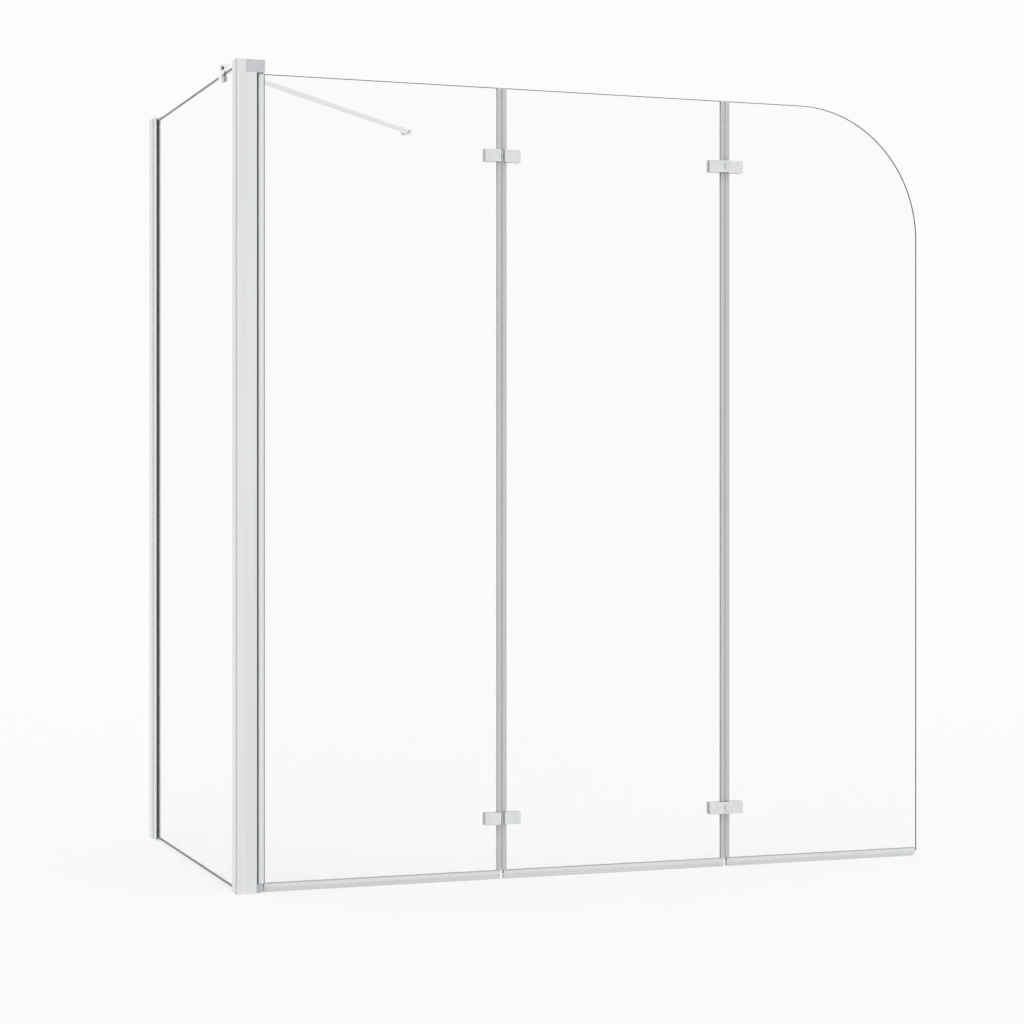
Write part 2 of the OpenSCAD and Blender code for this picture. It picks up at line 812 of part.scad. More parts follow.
// Spans of the knuckles above and below the hinge's middle: two on the left leaf, one on the right
function knuckle_spans(side) = side < 0
    ? [[-leaf_h / 2, -mid_knuckle_h / 2 - knuckle_joint], [mid_knuckle_h / 2 + knuckle_joint, leaf_h / 2]]
    : [[-mid_knuckle_h / 2, mid_knuckle_h / 2]];

// Leaf with knuckles about the hinge axis; the pin is tight in the right leaf and turns in the left
module knuckled_leaf(joint, side, z, face) {
    axis_y = face == inner ? inner_axis_y : outer_axis_y;
    web_y1 = face == inner ? inner_axis_y - knuckle_d / 2 : outer_face;
    web_y2 = face == inner ? inner_face : outer_axis_y + knuckle_d / 2;
    bore = side < 0 ? hinge_pin_d + 2 * run_fit : hinge_pin_d;
    place(chrome) difference() {
        union() {
            leaf_plate(joint, side, z, face);
            for (s = knuckle_spans(side)) {
                z_rod(joint, axis_y, z + s[0], z + s[1], knuckle_d);
                edge_box(joint, side, 0, leaf_gap / 2 + 0.5, web_y1, web_y2, z + s[0], z + s[1]);
            }
        }
        z_rod(joint, axis_y, z - leaf_h, z + leaf_h, bore);
    }
}

module plain_leaf(joint, side, z, face) {
    place(chrome) leaf_plate(joint, side, z, face);
}

module hinge_pins(joint, axis_y) {
    end = leaf_h / 2 - 0.2;
    place(steel) for (z = hinge_levels) {
        z_rod(joint, axis_y, z - end, z + end, hinge_pin_d);
    }
}

// Pads on both faces of the glass; the inner ones carry the sleeves that line the glass holes
module hinge_pads(joint, side) {
    for (z = hinge_levels) {
        difference() {
            edge_box(joint, side, leaf_gap / 2, leaf_gap / 2 + leaf_w, glass_front - pad_t,
                     glass_front, z - leaf_h / 2, z + leaf_h / 2);
            hinge_holes(joint, side, 0, post_d, hinge_screw_d);
        }
        difference() {
            union() {
                edge_box(joint, side, leaf_gap / 2, leaf_gap / 2 + leaf_w, glass_back,
                         glass_back + pad_t, z - leaf_h / 2, z + leaf_h / 2);
                for (a = screw_places) {
                    y_rod(joint + side * a, z, glass_front + sleeve_gap, glass_back + eps,
                          glass_hole_d - 2 * sleeve_gap);
                }
            }
            hinge_holes(joint, side, 0, post_d, hinge_screw_d);
        }
    }
}

module hinge_screws(joint, side) {
    tip_y = glass_front - pad_t - screw_tip;
    head_y = inner_face - screw_head_sink - screw_head_h;
    for (z = hinge_levels) {
        for (a = screw_places) {
            x = joint + side * a;
            difference() {
                union() {
                    y_rod(x, z, tip_y, head_y, hinge_screw_d);
                    y_rod(x, z, head_y, head_y + screw_head_h, screw_head_d);
                }
                translate([x, head_y + 1.2, z]) rotate([-90, 0, 0]) cylinder(d = 3, h = 3, $fn = 6);
            }
        }
    }
}

module panel_2_hinge_pads() {
    place(dark_rubber) {
        hinge_pads(joint_1, 1);
        hinge_pads(joint_2, -1);
    }
}

module panel_2_hinge_screws() {
    place(steel) {
        hinge_screws(joint_1, 1);
        hinge_screws(joint_2, -1);
    }
}

// ---- Pieces that repeat at the joints ---------------------------------------------------------------

module panel_1_edge_seal() {
    edge_seal(joint_1, left);
}

module hinge_1_top_inner_left() {
    knuckled_leaf(joint_1, left, hinge_high, inner);
}

module hinge_1_top_outer_left() {
    plain_leaf(joint_1, left, hinge_high, outer);
}

module hinge_1_bottom_inner_left() {
    knuckled_leaf(joint_1, left, hinge_low, inner);
}

module hinge_1_bottom_outer_left() {
    plain_leaf(joint_1, left, hinge_low, outer);
}

module panel_1_hinge_pads() {
    place(dark_rubber) hinge_pads(joint_1, left);
}

module panel_1_hinge_screws() {
    place(steel) hinge_screws(joint_1, left);
}

module panel_2_left_seal() {
    edge_seal(joint_1, right);
}

module panel_2_right_seal() {
    edge_seal(joint_2, left);
}

module hinge_1_top_inner_right() {
    knuckled_leaf(joint_1, right, hinge_high, inner);
}

module hinge_1_top_outer_right() {
    plain_leaf(joint_1, right, hinge_high, outer);
}

module hinge_1_bottom_inner_right() {
    knuckled_leaf(joint_1, right, hinge_low, inner);
}

module hinge_1_bottom_outer_right() {
    plain_leaf(joint_1, right, hinge_low, outer);
}

module hinge_2_top_inner_left() {
    plain_leaf(joint_2, left, hinge_high, inner);
}

module hinge_2_top_outer_left() {
    knuckled_leaf(joint_2, left, hinge_high, outer);
}

module hinge_2_bottom_inner_left() {
    plain_leaf(joint_2, left, hinge_low, inner);
}

module hinge_2_bottom_outer_left() {
    knuckled_leaf(joint_2, left, hinge_low, outer);
}

module hinge_1_pins() {
    hinge_pins(joint_1, inner_axis_y);
}

module panel_3_edge_seal() {
    edge_seal(joint_2, right);
}

module hinge_2_top_inner_right() {
    plain_leaf(joint_2, right, hinge_high, inner);
}

module hinge_2_top_outer_right() {
    knuckled_leaf(joint_2, right, hinge_high, outer);
}

module hinge_2_bottom_inner_right() {
    plain_leaf(joint_2, right, hinge_low, inner);
}

module hinge_2_bottom_outer_right() {
    knuckled_leaf(joint_2, right, hinge_low, outer);
}

module hinge_2_pins() {
    hinge_pins(joint_2, outer_axis_y);
}

module panel_3_hinge_pads() {
    place(dark_rubber) hinge_pads(joint_2, right);
}

module panel_3_hinge_screws() {
    place(steel) hinge_screws(joint_2, right);
}

// ---- Frame
corner_post();
side_glass();
post_glass_gasket();
glass_profile();
glass_profile_gasket();
top_pivot_cap();
bottom_pivot_block();
pivot_bushes();
cap_screws();
thrust_washer();
brace_clamp();
clamp_liner();
clamp_screws();
// ---- Wall channel
wall_profile();
locking_screws();
locking_nuts();
screw_caps();
// ---- Stabiliser bar and wall foot
stabiliser_bar();
bar_end_plug();
bar_tongue();
wall_foot();
foot_pin();
// ---- First panel
pivot_profile();
pivot_pins();
pivot_gasket();
glazing_gasket();
panel_1_glass();
panel_1_edge_seal();
panel_1_bottom_seal();
hinge_1_top_inner_left();
hinge_1_top_outer_left();
hinge_1_bottom_inner_left();
hinge_1_bottom_outer_left();
panel_1_hinge_pads();
panel_1_hinge_screws();
// ---- Middle panel
panel_2_glass();
panel_2_left_seal();
panel_2_right_seal();
panel_2_bottom_seal();
hinge_1_top_inner_right();
hinge_1_top_outer_right();
hinge_1_bottom_inner_right();
hinge_1_bottom_outer_right();
hinge_2_top_inner_left();
hinge_2_top_outer_left();
hinge_2_bottom_inner_left();
hinge_2_bottom_outer_left();
hinge_1_pins();
panel_2_hinge_pads();
panel_2_hinge_screws();
// ---- Free panel
panel_3_glass();
panel_3_edge_seal();
panel_3_bottom_seal();
hinge_2_top_inner_right();
hinge_2_top_outer_right();
hinge_2_bottom_inner_right();
hinge_2_bottom_outer_right();
hinge_2_pins();
panel_3_hinge_pads();
panel_3_hinge_screws();
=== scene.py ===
import json
from math import cos, pi, radians, sin, sqrt

import bmesh
import bpy
from mathutils import Matrix, Vector


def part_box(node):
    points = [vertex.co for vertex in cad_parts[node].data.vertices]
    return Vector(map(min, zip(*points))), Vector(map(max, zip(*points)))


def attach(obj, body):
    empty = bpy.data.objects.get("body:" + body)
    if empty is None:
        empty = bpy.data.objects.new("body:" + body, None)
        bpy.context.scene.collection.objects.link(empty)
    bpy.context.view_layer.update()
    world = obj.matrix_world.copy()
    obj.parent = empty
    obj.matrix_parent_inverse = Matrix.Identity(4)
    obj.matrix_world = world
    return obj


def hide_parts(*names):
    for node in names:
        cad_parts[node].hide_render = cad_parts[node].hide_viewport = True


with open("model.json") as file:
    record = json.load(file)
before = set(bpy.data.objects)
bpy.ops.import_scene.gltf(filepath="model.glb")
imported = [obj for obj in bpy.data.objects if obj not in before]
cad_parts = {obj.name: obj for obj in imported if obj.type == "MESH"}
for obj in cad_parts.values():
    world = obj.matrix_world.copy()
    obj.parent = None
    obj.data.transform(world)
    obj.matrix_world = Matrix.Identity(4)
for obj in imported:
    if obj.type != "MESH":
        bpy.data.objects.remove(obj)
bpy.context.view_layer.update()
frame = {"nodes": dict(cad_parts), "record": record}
scene = bpy.context.scene
scene.view_settings.view_transform = "Standard"

MM = 0.001
MERGE = 0.002 * MM    # points closer than this become one
FLAT = radians(0.5)   # faces that turn by less than this are one flat face
SQUARE = 0.9          # a face square to an axis has at least this share of its normal along it
BODIES = frame["record"]["behaviour"]["bodies"]


# ---- Nodes -------------------------------------------------------------------------------------

def linear(code):
    """An sRGB hex colour as linear values."""
    parts = [int(code[i:i + 2], 16) / 255 for i in (1, 3, 5)]
    return [c / 12.92 if c <= 0.04045 else ((c + 0.055) / 1.055) ** 2.4 for c in parts] + [1.0]


def add(tree, kind, settings=None, sockets=None):
    """Adds a node with its own settings, and fills its sockets with values, links or lists."""
    node = tree.nodes.new(kind)
    for name, value in (settings or {}).items():
        setattr(node, name, value)
    for key, value in (sockets or {}).items():
        for item in value if isinstance(value, list) else [value]:
            source = item.outputs[0] if isinstance(item, bpy.types.Node) else item
            if isinstance(source, bpy.types.NodeSocket):
                tree.links.new(source, node.inputs[key])
            else:
                node.inputs[key].default_value = source
    return node


# ---- Finishes ----------------------------------------------------------------------------------

NOISE = "ShaderNodeTexNoise"
CELLS = "ShaderNodeTexVoronoi"


def finish(name, tint, rough, relief, turn=0.0, **fixed):
    """Makes the finish of a solid surface. Every size is a real one in millimetres.

    tint is (dark, light, patch size) and rough is (low, high, patch size). relief lists its
    layers from the coarse to the fine as (texture, grain size, height). A size is given along the
    pattern's own X, Y and Z, which turn swings round from the front, in degrees. fixed holds the
    values that are the same all over the surface.
    """
    material = bpy.data.materials.new(name)
    material.use_nodes = True
    tree = material.node_tree
    tree.nodes.clear()
    place = add(tree, "ShaderNodeTexCoord").outputs["Object"]
    layers = []
    for texture, size in [(NOISE, tint[2]), (NOISE, rough[2])] + [layer[:2] for layer in relief]:
        spot = add(tree, "ShaderNodeMapping", {"vector_type": "TEXTURE"}, {
            "Vector": place, "Rotation": (0, 0, radians(turn)),
            "Scale": tuple(s * MM for s in size)})
        layers.append(add(tree, texture, None, {"Vector": spot, "Scale": 1.0}))
    spread = {"From Min": 0.35, "From Max": 0.65}
    patches = add(tree, "ShaderNodeMapRange", None, {"Value": layers[0], **spread})
    colour = add(tree, "ShaderNodeMix", {"data_type": "RGBA"}, {
        0: patches, 6: tuple(linear(tint[0])), 7: tuple(linear(tint[1]))})
    sheen = add(tree, "ShaderNodeMapRange", None, {
        "Value": layers[1], **spread, "To Min": rough[0], "To Max": rough[1]})
    shader = add(tree, "ShaderNodeBsdfPrincipled", None, {
        "Base Color": colour.outputs[2], "Roughness": sheen, **fixed})
    for layer, pattern in zip(relief, layers[2:]):
        bump = add(tree, "ShaderNodeBump", None, {"Height": pattern, "Distance": layer[2] * MM})
        if shader.inputs["Normal"].is_linked:
            tree.links.new(shader.inputs["Normal"].links[0].from_socket, bump.inputs["Normal"])
        tree.links.new(bump.outputs[0], shader.inputs["Normal"])
    add(tree, "ShaderNodeOutputMaterial", None, {"Surface": shader})
    return material


METAL = {"Metallic": 1.0}
PVC = {"IOR": 1.53}

# Aluminium, extruded and matt anodised. The etch before anodising takes the shine off, and leaves
# the die's lines along the length: really 0.1 mm apart, drawn at 0.9 mm so that they show.
anodised = finish(
    "aluminium_extruded_matt_anodised",
    ("#e5e7e8", "#ebedee", (9, 9, 500)), (0.33, 0.43, (4, 4, 300)),
    [(NOISE, (5, 5, 400), 0.02), (NOISE, (0.9, 0.9, 150), 0.008)], **METAL)

# The same profile on its long rounded edges, painted darker: painted shade along the edges.
anodised_edge_painted_shade = finish(
    "aluminium_anodised_edge_painted_shade",
    ("#5e6163", "#696c6e", (5, 5, 300)), (0.36, 0.46, (3, 3, 120)),
    [(NOISE, (0.9, 0.9, 90), 0.01)], **METAL)

# The same profile inside the slot for the side glass, given a flat, pale finish without metal
# shine: painted light in the shade of the narrow slot.
anodised_slot_painted_light = finish(
    "aluminium_anodised_slot_painted_light",
    ("#e6e8e9", "#eceeef", (5, 5, 300)), (0.6, 0.7, (3, 3, 120)),
    [(NOISE, (0.9, 0.9, 90), 0.01)])

# Zinc, die cast, polished and chrome plated: bright, with the faint waves that polishing leaves.
chrome_plate = finish(
    "zinc_cast_chrome_plated",
    ("#dcdedf", "#e3e5e6", (16, 16, 16)), (0.12, 0.2, (7, 7, 7)),
    [(NOISE, (9, 9, 9), 0.03), (CELLS, (0.8, 0.8, 0.8), 0.003)], **METAL)

# The cut ends of the same castings, tumbled before plating and so dull, and painted a little
# darker: painted shade on the ends.
chrome_end_painted_shade = finish(
    "zinc_cast_plated_end_painted_shade",
    ("#d2d5d7", "#dadddf", (3, 3, 6)), (0.34, 0.48, (1.5, 1.5, 3)),
    [(NOISE, (3, 3, 3), 0.02), (CELLS, (0.7, 0.7, 0.7), 0.02)], **METAL)

# Brass, machined and mirror plated: the clamp and the foot of the bar, brighter than the castings.
chrome_mirror = finish(
    "brass_machined_chrome_plated",
    ("#eeeff0", "#f3f4f4", (12, 12, 12)), (0.08, 0.14, (5, 5, 5)),
    [(NOISE, (7, 7, 7), 0.015), (NOISE, (1.2, 1.2, 0.8), 0.002)], **METAL)

# Brass tube, drawn and chrome plated: the die's lines run along it, 0.8 mm apart as drawn.
chrome_tube = finish(
    "brass_tube_drawn_chrome_plated",
    ("#e4e6e7", "#e9ebec", (160, 7, 7)), (0.24, 0.3, (60, 4, 4)),
    [(NOISE, (220, 3, 3), 0.004), (NOISE, (90, 0.8, 0.8), 0.004)], turn=49.3, **METAL)

# Stainless steel, turned: the tool leaves a fine rough grain, 0.3 mm as drawn.
turned_steel = finish(
    "stainless_steel_turned",
    ("#b2b4b6", "#c6c8ca", (2, 2, 2)), (0.2, 0.34, (1.2, 1.2, 1.2)),
    [(NOISE, (1.5, 1.5, 1.5), 0.01), (CELLS, (0.3, 0.3, 0.3), 0.006)], **METAL)

# ABS, moulded with a spark-eroded grain: grain of 0.15 mm, drawn at 0.7 mm so that it shows.
moulded_abs = finish(
    "abs_moulded_cool_grey",
    ("#c3c5c8", "#c9cbce", (22, 22, 22)), (0.36, 0.5, (5, 5, 5)),
    [(NOISE, (14, 14, 14), 0.05), (CELLS, (0.7, 0.7, 0.7), 0.02)], IOR=1.53)

# Rigid PVC, extruded: the legs of the seals. Cool grey, smooth, with lines along the run.
clip_upright = finish(
    "pvc_rigid_extruded_upright",
    ("#bfc1c3", "#c6c8c9", (3, 3, 260)), (0.28, 0.4, (2, 2, 140)),
    [(NOISE, (2.2, 2.2, 320), 0.03), (NOISE, (0.7, 0.7, 120), 0.012)], **PVC)
clip_lying = finish(
    "pvc_rigid_extruded_lying",
    ("#dcdee0", "#e3e5e6", (260, 3, 3)), (0.28, 0.4, (140, 2, 2)),
    [(NOISE, (320, 2.2, 2.2), 0.03), (NOISE, (120, 0.7, 0.7), 0.012)], **PVC)

# Soft PVC on the same extrusions: the noses, the fins and the grips on the glass, darker and
# duller. The grips' darker grey is painted shade along the top of the seals' legs, and the pale
# necks between the hinge leaves are painted light in the shade there.
lip_upright = finish(
    "pvc_soft_extruded_upright",
    ("#bfc1c3", "#c6c8ca", (3, 3, 200)), (0.42, 0.58, (2, 2, 90)),
    [(NOISE, (1.6, 1.6, 160), 0.03), (NOISE, (0.8, 0.8, 20), 0.015)], **PVC)
neck_painted_light = finish(
    "pvc_soft_neck_painted_light",
    ("#e4e6e7", "#eaeced", (3, 3, 200)), (0.42, 0.58, (2, 2, 90)),
    [(NOISE, (1.6, 1.6, 160), 0.03)], **PVC)
lip_lying = finish(
    "pvc_soft_extruded_lying",
    ("#d2d4d6", "#d9dbdd", (200, 3, 3)), (0.42, 0.58, (90, 2, 2)),
    [(NOISE, (160, 1.6, 1.6), 0.03), (NOISE, (20, 0.8, 0.8), 0.015)], **PVC)
grip_painted_shade = finish(
    "pvc_soft_grip_painted_shade",
    ("#b4b7b9", "#bdbfc1", (200, 2, 2)), (0.45, 0.6, (90, 2, 2)),
    [(NOISE, (160, 0.9, 0.9), 0.02)], **PVC)

# EPDM rubber, extruded: black and dull, with the dusty skin of the salt bath.
epdm_rubber = finish(
    "epdm_rubber_extruded_black",
    ("#46484a", "#525456", (6, 6, 90)), (0.55, 0.75, (2, 2, 30)),
    [(NOISE, (1.5, 1.5, 60), 0.03), (CELLS, (0.6, 0.6, 0.6), 0.02)])

# EPDM again, in the softer grey grade of the linings, cut from sheet.
pad_rubber = finish(
    "epdm_sheet_cut_dark_grey",
    ("#484a4c", "#56585a", (4, 4, 4)), (0.5, 0.68, (2, 2, 2)),
    [(CELLS, (0.7, 0.7, 0.7), 0.02)])

# Silicone, cut from pale sheet: the pads under the hinge leaves.
pale_silicone = finish(
    "silicone_sheet_cut_pale",
    ("#d2d4d5", "#dadcdd", (4, 4, 4)), (0.45, 0.6, (2, 2, 2)),
    [(CELLS, (0.7, 0.7, 0.7), 0.02)])

# Nylon, turned from bar: white and waxy, with faint rings every 0.5 mm.
turned_nylon = finish(
    "nylon_turned_white",
    ("#e4e4e0", "#eeeeeb", (3, 3, 0.8)), (0.35, 0.5, (2, 2, 0.6)),
    [(NOISE, (3, 3, 0.5), 0.02)], **{"Subsurface Weight": 0.1, "Subsurface Scale": 0.001})

# Edges of the glass, ground and arrised: grey-green and matt, with the marks of the wheel.
ground_edge = finish(
    "float_glass_ground_edge",
    ("#3c4543", "#48514f", (9, 9, 9)), (0.35, 0.5, (3, 3, 3)),
    [(CELLS, (0.6, 0.6, 0.6), 0.015)], IOR=1.52)

# The side glass's edges, ground on a coarse belt: paler, and without shine. The same grey is
# painted on a band along the top and bottom of both faces, as painted shade.
coarse_edge_and_painted_band = finish(
    "float_glass_belt_ground_edge_and_painted_band",
    ("#7f8483", "#8b908f", (9, 9, 9)), (0.7, 0.85, (3, 3, 3)),
    [(CELLS, (0.9, 0.9, 0.9), 0.03)], **{"IOR": 1.52, "Specular IOR Level": 0.2})


def float_glass():
    """Float glass, toughened: the tempering rollers leave long soft waves, 260 mm apart."""
    material = bpy.data.materials.new("float_glass_toughened_clear")
    material.use_nodes = True
    tree = material.node_tree
    tree.nodes.clear()
    place = add(tree, "ShaderNodeTexCoord").outputs["Object"]
    wide = add(tree, "ShaderNodeMapping", {"vector_type": "TEXTURE"}, {
        "Vector": place, "Scale": (0.7, 0.7, 0.5)})
    rolled = add(tree, "ShaderNodeMapping", {"vector_type": "TEXTURE"}, {
        "Vector": place, "Scale": (0.26, 0.26, 0.09)})
    cast = add(tree, NOISE, None, {"Vector": wide, "Scale": 1.0, "Detail": 1.0})
    waves = add(tree, NOISE, None, {"Vector": rolled, "Scale": 1.0, "Detail": 0.0})
    colour = add(tree, "ShaderNodeMix", {"data_type": "RGBA"}, {
        0: cast, 6: tuple(linear("#fcfcfc")), 7: tuple(linear("#fefefe"))})
    bump = add(tree, "ShaderNodeBump", None, {"Height": waves, "Distance": 0.01 * MM})
    glass = add(tree, "ShaderNodeBsdfPrincipled", None, {
        "Base Color": colour.outputs[2], "Roughness": 0.0, "IOR": 1.52, "Transmission Weight": 1.0,
        "Normal": bump})
    clear = add(tree, "ShaderNodeBsdfTransparent", None, {"Color": tuple(linear("#fcfcfc"))})
    path = add(tree, "ShaderNodeLightPath")
    mix = add(tree, "ShaderNodeMixShader", None, {
        0: path.outputs["Is Shadow Ray"], 1: glass, 2: clear})
    add(tree, "ShaderNodeOutputMaterial", None, {"Surface": mix})
    return material


clear_glass = float_glass()


# ---- Pieces ------------------------------------------------------------------------------------

def keep(mesh, node):
    """Puts a finished mesh in the place of a CAD node, on that node's body."""
    piece = bpy.data.objects.new(node + "_finished", mesh)
    mesh.name = piece.name
    scene.collection.objects.link(piece)
    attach(piece, next(body for body, nodes in BODIES.items() if node in nodes))
    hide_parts(node)


def settled(carrier):
    """The mesh that a carrier's modifiers make. The carrier and its modifiers are then removed."""
    graph = bpy.context.evaluated_depsgraph_get()
    mesh = bpy.data.meshes.new_from_object(carrier.evaluated_get(graph))
    carrier.modifiers.clear()
    bpy.data.objects.remove(carrier)
    return mesh


def eased(mesh, width_mm, segments=2, edge_slot=-1, angle=32):
    """The mesh with its sharp edges rounded over, as polishing, plating or a mould leaves them."""
    mesh.shade_smooth()
    mesh.set_sharp_from_angle(angle=radians(angle))
    carrier = bpy.data.objects.new("carrier", mesh)
    scene.collection.objects.link(carrier)
    bevel = carrier.modifiers.new("eased", "BEVEL")
    bevel.width = width_mm * MM
    bevel.segments = segments
    bevel.limit_method = "ANGLE"
    bevel.angle_limit = radians(angle)
    bevel.miter_outer = "MITER_ARC"
    bevel.use_clamp_overlap = False
    bevel.loop_slide = False
    bevel.material = edge_slot
    # The flat faces keep their shading flat, and only the rounded edges turn it
    shading = carrier.modifiers.new("shading", "WEIGHTED_NORMAL")
    shading.mode = "FACE_AREA"
    shading.weight = 100
    shading.keep_sharp = True
    return settled(carrier)


def cad_copy(node, materials, choose=None, cuts=()):
    """A copy of a CAD node's mesh, merged, with its flat faces whole. choose gives a face its
    material, and cuts are levels where the faces are cut across, for a finish that ends there."""
    shape = bmesh.new()
    shape.from_mesh(frame["nodes"][node].data)
    bmesh.ops.remove_doubles(shape, verts=shape.verts, dist=MERGE)
    bmesh.ops.dissolve_limit(shape, angle_limit=FLAT, verts=shape.verts, edges=shape.edges)
    for level in cuts:
        bmesh.ops.bisect_plane(shape, geom=shape.verts[:] + shape.edges[:] + shape.faces[:],
                               plane_co=(0, 0, level), plane_no=(0, 0, 1))
    mesh = bpy.data.meshes.new(node)
    shape.to_mesh(mesh)
    shape.free()
    mesh.materials.clear()
    for material in materials:
        mesh.materials.append(material)
    for face in mesh.polygons:
        face.material_index = choose(face) if choose else 0
    return mesh


def joined(meshes):
    """One mesh from several, with their materials kept."""
    whole = bmesh.new()
    materials = []
    for mesh in meshes:
        first = len(whole.faces)
        whole.from_mesh(mesh)
        whole.faces.ensure_lookup_table()
        slots = []
        for material in mesh.materials:
            if material not in materials:
                materials.append(material)
            slots.append(materials.index(material))
        for face in whole.faces[first:]:
            face.material_index = slots[face.material_index]
    result = bpy.data.meshes.new("joined")
    whole.to_mesh(result)
    whole.free()
    for material in materials:
        result.materials.append(material)
    return result


def new_tree(name, inputs):
    """An empty Geometry Nodes tree with named inputs, and the sockets that give them inside it."""
    tree = bpy.data.node_groups.new(name, "GeometryNodeTree")
    for label, kind in [("Geometry", "NodeSocketGeometry")] + inputs:
        tree.interface.new_socket(label, in_out="INPUT", socket_type=kind)
    tree.interface.new_socket("Geometry", in_out="OUTPUT", socket_type="NodeSocketGeometry")
    return tree, add(tree, "NodeGroupInput").outputs


def grown(tree, base, values):
    """The plain mesh that a tree makes from a base mesh, with its inputs set by identifier."""
    carrier = bpy.data.objects.new("carrier", base)
    scene.collection.objects.link(carrier)
    growth = carrier.modifiers.new(tree.name, "NODES")
    growth.node_group = tree
    for item in tree.interface.items_tree:
        if item.in_out == "INPUT" and item.name in values:
            growth[item.identifier] = values[item.name]
    return settled(carrier)


# ---- Extruded seals: a tree draws each section out along its run -------------------------------

def run_tree():
    """Draws flat sections out along one direction, each by the length that its face carries."""
    tree, given = new_tree("extruded_run", [
        ("Direction", "NodeSocketVector"), ("Material", "NodeSocketMaterial")])
    length = add(tree, "GeometryNodeInputNamedAttribute", {"data_type": "FLOAT"}, {
        "Name": "length"})
    drawn = add(tree, "GeometryNodeExtrudeMesh", {"mode": "FACES"}, {
        "Mesh": given["Geometry"], "Offset": given["Direction"], "Offset Scale": length})
    start = add(tree, "GeometryNodeFlipFaces", None, {"Mesh": given["Geometry"]})
    whole = add(tree, "GeometryNodeJoinGeometry", None, {
        "Geometry": [drawn.outputs["Mesh"], start]})
    closed = add(tree, "GeometryNodeMergeByDistance", None, {
        "Geometry": whole, "Distance": MERGE})
    real = add(tree, "GeometryNodeRealizeInstances", None, {"Geometry": closed})
    done = add(tree, "GeometryNodeSetMaterial", None, {
        "Geometry": real, "Material": given["Material"]})
    add(tree, "NodeGroupOutput", None, {"Geometry": done})
    return tree


extruded_run = run_tree()


def extruded(sections, axis, material):
    """Draws sections out along X or Z. A section is (outline, start, end), all in metres; an
    outline's points lie in YZ for a run along X, and in XY for one along Z."""
    shape = bmesh.new()
    lengths = shape.faces.layers.float.new("length")
    for outline, start, end in sections:
        area = sum(p[0] * q[1] - q[0] * p[1] for p, q in zip(outline, outline[1:] + outline[:1]))
        ordered = outline if area > 0 else outline[::-1]
        points = [(start, a, b) if axis == "x" else (a, b, start) for a, b in ordered]
        face = shape.faces.new([shape.verts.new(point) for point in points])
        face[lengths] = end - start
    base = bpy.data.meshes.new("sections")
    shape.to_mesh(base)
    shape.free()
    direction = (1, 0, 0) if axis == "x" else (0, 0, 1)
    mesh = grown(extruded_run, base, {"Direction": direction, "Material": material})
    mesh.shade_smooth()
    mesh.set_sharp_from_angle(angle=radians(35))
    return mesh


def rounded(points, radius_mm):
    """An outline in millimetres with its corners rounded, in metres. A point's third value is its
    own radius."""
    steps = 3  # a corner's curve has this many
    result = []
    count = len(points)
    for i, point in enumerate(points):
        corner = Vector(point[:2])
        before = Vector(points[i - 1][:2]) - corner
        after = Vector(points[(i + 1) % count][:2]) - corner
        wanted = point[2] if len(point) > 2 else radius_mm
        reach = min(wanted, before.length * 0.45, after.length * 0.45)
        a, b = corner + before.normalized() * reach, corner + after.normalized() * reach
        if reach < 0.01:
            result.append(corner * MM)
            continue
        for k in range(steps + 1):
            t = k / steps
            result.append((a * (1 - t) ** 2 + corner * 2 * t * (1 - t) + b * t ** 2) * MM)
    return [tuple(p) for p in result]


GLASS_LOW, GLASS_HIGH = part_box("panel_2_glass")
GLASS_FRONT = GLASS_LOW[1] / MM
GLASS_BACK = GLASS_HIGH[1] / MM
# The legs' inner faces lie just off the glass, so that no two faces share a plane
LEG_FACE = GLASS_FRONT - 0.05


def leaf_pair(joint, face, side):
    """The names of a joint's two hinge leaves of one kind, the lower one first."""
    return [f"hinge_{joint}_{level}_{face}_{side}" for level in ("bottom", "top")]


